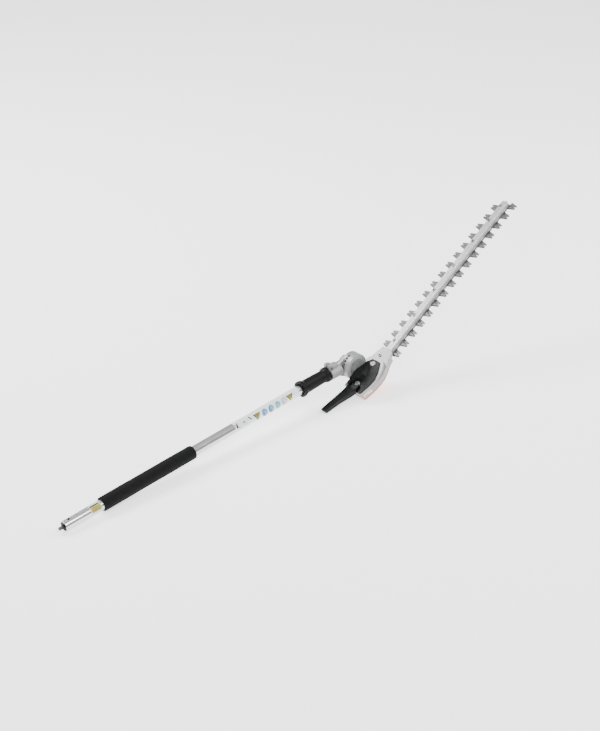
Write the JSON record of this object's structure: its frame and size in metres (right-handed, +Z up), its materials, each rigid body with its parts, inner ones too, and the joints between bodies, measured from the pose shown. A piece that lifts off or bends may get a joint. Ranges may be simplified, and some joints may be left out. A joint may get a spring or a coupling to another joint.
{
  "type": "hedge trimmer attachment",
  "caption": "Pole hedge trimmer attachment: drive tube with foam grip and lock sleeve, folding geared head, guide bar and reciprocating double-sided blades.",
  "frame": {"origin": "centre of the drive tube's coupling end face", "axes": "+X along the tube's heading on the floor, +Y to its left, +Z up; the tool lies on the floor on its tube end and its gearbox, the tube rising 3.6 degrees"},
  "size_m": [1.4361, 0.1135, 0.3659],
  "materials": {
    "polished_aluminium": "polished",
    "cast_aluminium": "satin",
    "cap_grey": "satin",
    "bar_aluminium": "satin",
    "blade_steel": "ground",
    "shaft_steel": "plain",
    "zinc_steel": "zinc plated",
    "black_plastic": "moulded",
    "sleeve_plastic": "satin",
    "orange_plate": "painted",
    "black_foam": "open-cell foam",
    "bush_plastic": "plain",
    "rear_label_film": "printed film",
    "side_label_film": "printed film",
    "spring_steel": "drawn"
  },
  "bodies": {
    "pole": {"drive_tube": "polished_aluminium", "shaft_bush_1": "bush_plastic", "shaft_bush_2": "bush_plastic", "shaft_bush_3": "bush_plastic", "shaft_bush_4": "bush_plastic", "foam_grip": "black_foam", "rear_label": "rear_label_film", "side_label": "side_label_film", "spring_seat": "zinc_steel", "return_spring": "spring_steel", "clamp_housing": "cast_aluminium", "clamp_screw": "zinc_steel", "clamp_nut": "zinc_steel", "shaft_bearing": "zinc_steel", "transfer_bush_right": "bush_plastic", "transfer_bush_left": "bush_plastic", "knuckle_cover": "cast_aluminium", "knuckle_screws": "zinc_steel", "pivot_ring": "zinc_steel"},
    "drive": {"drive_shaft": "shaft_steel", "drive_pinion": "shaft_steel"},
    "transfer": {"transfer_shaft": "shaft_steel", "transfer_wheel": "shaft_steel", "transfer_pinion": "shaft_steel"},
    "sleeve": {"lock_sleeve": "sleeve_plastic", "lock_pin": "zinc_steel"},
    "head": {"head_housing": "cast_aluminium", "drum_cap": "cap_grey", "cap_screws": "zinc_steel", "gearbox_cover": "black_plastic", "cover_screws": "zinc_steel", "swing_lever": "black_plastic", "bottom_plate": "orange_plate", "plate_screws": "zinc_steel", "crank_bush_top": "bush_plastic", "crank_bush_bottom": "bush_plastic", "pinion_bush": "bush_plastic", "guide_bar": "bar_aluminium", "bar_screws": "zinc_steel", "bar_washers": "zinc_steel", "bar_nuts": "zinc_steel", "neck_screw": "zinc_steel"},
    "head_pinion": {"pinion_shaft": "shaft_steel"},
    "crank": {"crank_wheel": "shaft_steel", "crank_shaft": "shaft_steel"},
    "upper_blade": {"upper_blade": "blade_steel"},
    "lower_blade": {"lower_blade": "blade_steel"}
  },
  "joints": [
    {"name": "fold", "type": "hinge", "parent": "pole", "child": "head", "pos_m": [0.87657, 0, 0.05515], "axis": [0, -1, 0], "range_deg": [-85.5, 71.25]},
    {"name": "shaft_spin", "type": "hinge", "parent": "pole", "child": "drive", "pos_m": [0, 0, 0], "axis": [0.998, 0, 0.0628], "continuous": true},
    {"name": "transfer_spin", "type": "hinge", "parent": "pole", "child": "transfer", "pos_m": [0.87657, 0, 0.05515], "axis": [0, 1, 0], "continuous": true},
    {"name": "pinion_spin", "type": "hinge", "parent": "head", "child": "head_pinion", "pos_m": [0.87657, -0.025, 0.05515], "axis": [-0.5314, 0, 0.8471], "continuous": true},
    {"name": "crank_spin", "type": "hinge", "parent": "head", "child": "crank", "pos_m": [0.87657, -0.053, 0.05515], "axis": [-0.5314, 0, 0.8471], "continuous": true},
    {"name": "upper_blade_slide", "type": "slide", "parent": "head", "child": "upper_blade", "axis": [0.8471, 0, 0.5314], "range_m": [-0.00425, 0.01275]},
    {"name": "lower_blade_slide", "type": "slide", "parent": "head", "child": "lower_blade", "axis": [0.8471, 0, 0.5314], "range_m": [-0.01275, 0.00425]},
    {"name": "sleeve_slide", "type": "slide", "parent": "pole", "child": "sleeve", "axis": [-0.998, 0, -0.0628], "range_m": [0, 0.012], "stiffness_N_per_m": 500, "springref_m": -0.01, "deforming": ["return_spring"]}
  ],
  "couplings": [
    {"joint": "transfer_spin", "follows": "shaft_spin", "ratio": -1},
    {"joint": "pinion_spin", "follows": "shaft_spin", "ratio": -1},
    {"joint": "crank_spin", "follows": "shaft_spin", "ratio": 0.27273},
    {"joint": "lower_blade_slide", "follows": "upper_blade_slide", "ratio": -1}
  ]
}
